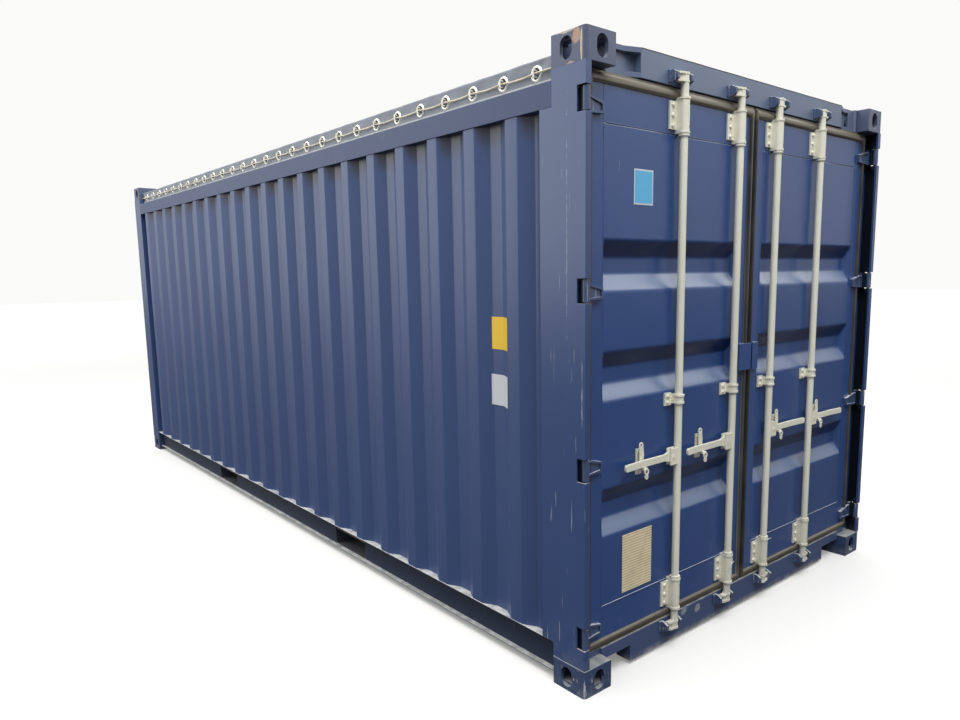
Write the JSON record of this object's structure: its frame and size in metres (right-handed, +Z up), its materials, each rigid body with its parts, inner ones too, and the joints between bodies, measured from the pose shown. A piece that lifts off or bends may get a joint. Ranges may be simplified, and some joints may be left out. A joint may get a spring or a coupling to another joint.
{
  "type": "shipping container",
  "caption": "Steel open-top shipping container with a laced tarpaulin roof, corrugated walls and locking double end doors.",
  "frame": {"origin": "on the ground, in the middle of the rectangle under the corner castings", "axes": "+X along the length towards the doors, +Y to the right-hand side seen from behind the doors, +Z up"},
  "size_m": [6.058, 2.438, 2.591],
  "materials": {
    "navy_paint": "satin",
    "galvanised_steel": "dull",
    "door_rubber": "matte",
    "tarpaulin": "matte",
    "lacing": "matte",
    "plywood": "matte"
  },
  "bodies": {
    "container": {"bottom_castings": "navy_paint", "top_castings": "navy_paint", "rear_post_left": "navy_paint", "rear_post_right": "navy_paint", "front_posts": "navy_paint", "bottom_rail_left": "navy_paint", "bottom_rail_right": "navy_paint", "top_rail_left": "navy_paint", "top_rail_right": "navy_paint", "side_wall_left": "navy_paint", "side_wall_right": "navy_paint", "front_end_wall": "navy_paint", "front_header": "navy_paint", "front_sill": "navy_paint", "door_sill": "navy_paint", "door_header": "navy_paint", "header_brackets": "navy_paint", "cross_members": "navy_paint", "fork_pockets": "navy_paint", "floor_boards": "plywood", "tarp_cover": "tarpaulin", "roof_bows": "galvanised_steel", "lacing_cable": "lacing", "cable_staples": "galvanised_steel", "cam_keepers": "navy_paint"},
    "left_door": {"left_door_frame": "navy_paint", "left_door_panel": "navy_paint", "left_door_seal": "door_rubber", "left_door_hinges": "navy_paint", "left_door_fittings": "galvanised_steel"},
    "right_door": {"right_door_frame": "navy_paint", "right_door_panel": "navy_paint", "right_door_seal": "door_rubber", "right_door_hinges": "navy_paint", "right_door_fittings": "galvanised_steel"},
    "lock_bar_1": {"lock_bar_1": "galvanised_steel"},
    "handle_1": {"handle_1": "galvanised_steel"},
    "catch_1": {"catch_1": "galvanised_steel"},
    "lock_bar_2": {"lock_bar_2": "galvanised_steel"},
    "handle_2": {"handle_2": "galvanised_steel"},
    "catch_2": {"catch_2": "galvanised_steel"},
    "lock_bar_3": {"lock_bar_3": "galvanised_steel"},
    "handle_3": {"handle_3": "galvanised_steel"},
    "catch_3": {"catch_3": "galvanised_steel"},
    "lock_bar_4": {"lock_bar_4": "galvanised_steel"},
    "handle_4": {"handle_4": "galvanised_steel"},
    "catch_4": {"catch_4": "galvanised_steel"}
  },
  "joints": [
    {"name": "left_door_swing", "type": "hinge", "parent": "container", "child": "left_door", "pos_m": [3.014, -1.199, 1.3], "axis": [0, 0, 1], "range_deg": [-265, 0]},
    {"name": "right_door_swing", "type": "hinge", "parent": "container", "child": "right_door", "pos_m": [3.014, 1.199, 1.3], "axis": [0, 0, -1], "range_deg": [-265, 0]},
    {"name": "lock_bar_1_turn", "type": "hinge", "parent": "left_door", "child": "lock_bar_1", "pos_m": [2.999, -0.59, 1.3], "axis": [0, 0, 1], "range_deg": [0, 90]},
    {"name": "handle_1_lift", "type": "hinge", "parent": "lock_bar_1", "child": "handle_1", "pos_m": [2.997, -0.632, 0.908], "axis": [-1, 0, 0], "range_deg": [0, 15]},
    {"name": "catch_1_swing", "type": "hinge", "parent": "left_door", "child": "catch_1", "pos_m": [2.984, -0.825, 0.96], "axis": [-1, 0, 0], "range_deg": [0, 90]},
    {"name": "lock_bar_2_turn", "type": "hinge", "parent": "left_door", "child": "lock_bar_2", "pos_m": [2.999, -0.165, 1.3], "axis": [0, 0, 1], "range_deg": [0, 90]},
    {"name": "handle_2_lift", "type": "hinge", "parent": "lock_bar_2", "child": "handle_2", "pos_m": [2.997, -0.207, 0.908], "axis": [-1, 0, 0], "range_deg": [0, 15]},
    {"name": "catch_2_swing", "type": "hinge", "parent": "left_door", "child": "catch_2", "pos_m": [2.984, -0.4, 0.96], "axis": [-1, 0, 0], "range_deg": [0, 90]},
    {"name": "lock_bar_3_turn", "type": "hinge", "parent": "right_door", "child": "lock_bar_3", "pos_m": [2.999, 0.165, 1.3], "axis": [0, 0, -1], "range_deg": [0, 90]},
    {"name": "handle_3_lift", "type": "hinge", "parent": "lock_bar_3", "child": "handle_3", "pos_m": [2.997, 0.207, 0.908], "axis": [1, 0, 0], "range_deg": [0, 15]},
    {"name": "catch_3_swing", "type": "hinge", "parent": "right_door", "child": "catch_3", "pos_m": [2.984, 0.273, 0.96], "axis": [1, 0, 0], "range_deg": [0, 90]},
    {"name": "lock_bar_4_turn", "type": "hinge", "parent": "right_door", "child": "lock_bar_4", "pos_m": [2.999, 0.59, 1.3], "axis": [0, 0, -1], "range_deg": [0, 90]},
    {"name": "handle_4_lift", "type": "hinge", "parent": "lock_bar_4", "child": "handle_4", "pos_m": [2.997, 0.632, 0.908], "axis": [1, 0, 0], "range_deg": [0, 15]},
    {"name": "catch_4_swing", "type": "hinge", "parent": "right_door", "child": "catch_4", "pos_m": [2.984, 0.698, 0.96], "axis": [1, 0, 0], "range_deg": [0, 90]}
  ]
}
